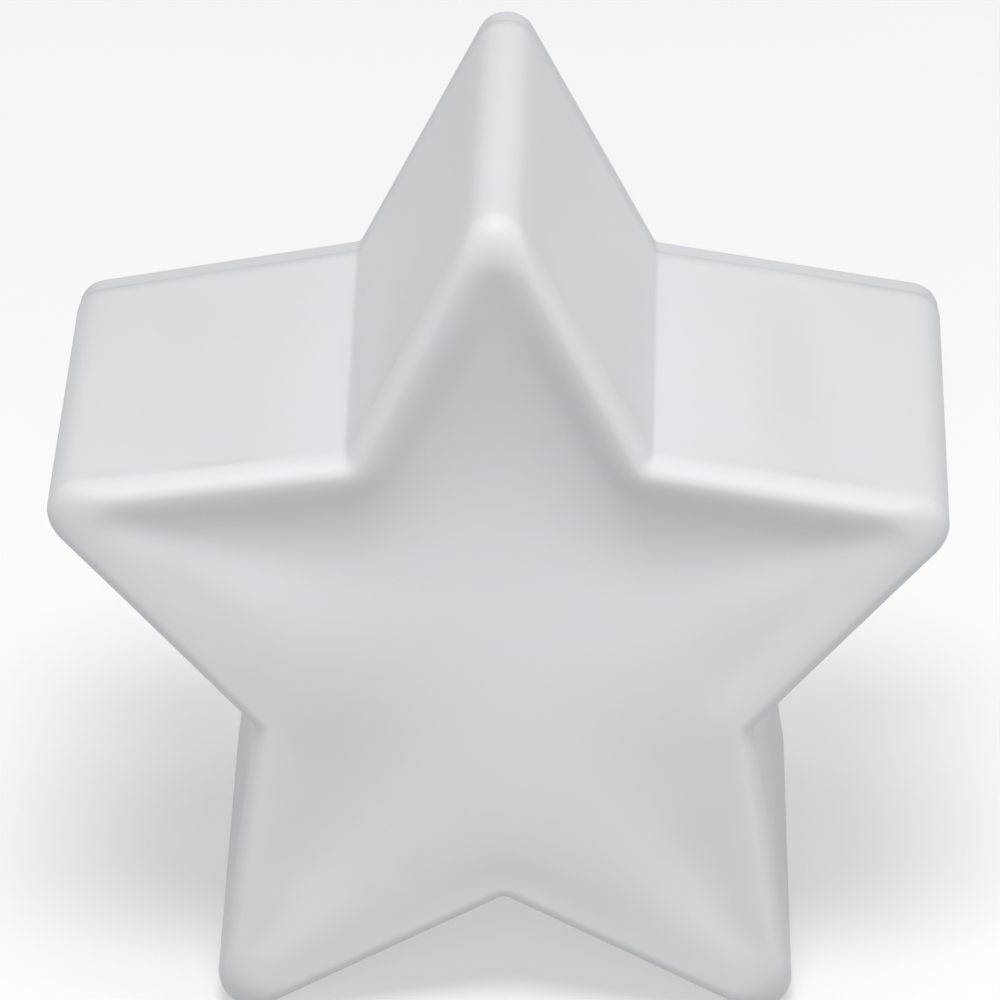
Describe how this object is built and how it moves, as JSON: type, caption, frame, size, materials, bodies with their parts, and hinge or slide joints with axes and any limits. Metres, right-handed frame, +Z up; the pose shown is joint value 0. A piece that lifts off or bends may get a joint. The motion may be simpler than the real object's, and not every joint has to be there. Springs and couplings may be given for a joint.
{
  "type": "star lamp",
  "caption": "Hollow white plastic five-pointed star lamp that stands on two points, with a rear battery door, a slide switch and a push button.",
  "frame": {"origin": "on the surface that the lamp stands on, midway between its two feet and between its front and back faces", "axes": "+X to the right seen from the front, +Y towards the rear cover, +Z up"},
  "size_m": [0.1504, 0.1, 0.1431],
  "materials": {
    "shell_plastic": "satin, slightly translucent",
    "cover_plastic": "satin, opaque",
    "door_plastic": "satin, opaque",
    "control_plastic": "satin",
    "screw_steel": "zinc plated",
    "cell_sleeve": "glossy plain sleeve over a steel can",
    "contact_steel": "nickel plated",
    "spring_steel": "nickel plated wire",
    "board_laminate": "white solder mask",
    "led_case": "white moulded resin",
    "led_phosphor": "yellow phosphor resin",
    "diffuser_plastic": "opal",
    "black_resin": "moulded black resin",
    "tinned_metal": "tinned",
    "capacitor_can": "dark sleeve",
    "switch_can_steel": "plated sheet",
    "red_vinyl": "vinyl insulation",
    "black_vinyl": "vinyl insulation"
  },
  "bodies": {
    "lamp_body": {"star_shell": "shell_plastic", "rear_cover": "cover_plastic", "cover_screws": "screw_steel", "board_screws": "screw_steel", "battery_cell_1": "cell_sleeve", "battery_cell_2": "cell_sleeve", "battery_cell_3": "cell_sleeve", "positive_contact": "contact_steel", "negative_contact": "contact_steel", "left_bridge_contact": "contact_steel", "right_bridge_contact": "contact_steel", "contact_springs": "spring_steel", "circuit_board": "board_laminate", "led_packages": "led_case", "led_windows": "led_phosphor", "led_diffuser": "diffuser_plastic", "controller_chip": "black_resin", "chip_resistors": "black_resin", "controller_pins": "tinned_metal", "solder_joints": "tinned_metal", "buffer_capacitor": "capacitor_can", "slide_switch_can": "switch_can_steel", "tact_switch_body": "switch_can_steel", "red_lead": "red_vinyl", "black_lead": "black_vinyl"},
    "battery_door": {"battery_door": "door_plastic"},
    "power_slider": {"switch_knob": "control_plastic", "slide_switch_stem": "black_resin"},
    "colour_button": {"push_button": "control_plastic", "tact_switch_plunger": "black_resin"}
  },
  "joints": [
    {"name": "battery_door_hinge", "type": "hinge", "parent": "lamp_body", "child": "battery_door", "pos_m": [0, 0.048, 0.0329], "axis": [-1, 0, 0], "range_deg": [0, 70]},
    {"name": "power_slide", "type": "slide", "parent": "lamp_body", "child": "power_slider", "axis": [1, 0, 0], "range_m": [0, 0.004]},
    {"name": "colour_button_press", "type": "slide", "parent": "lamp_body", "child": "colour_button", "axis": [0, -1, 0], "range_m": [0, 0.0006], "stiffness_N_per_m": 800}
  ]
}
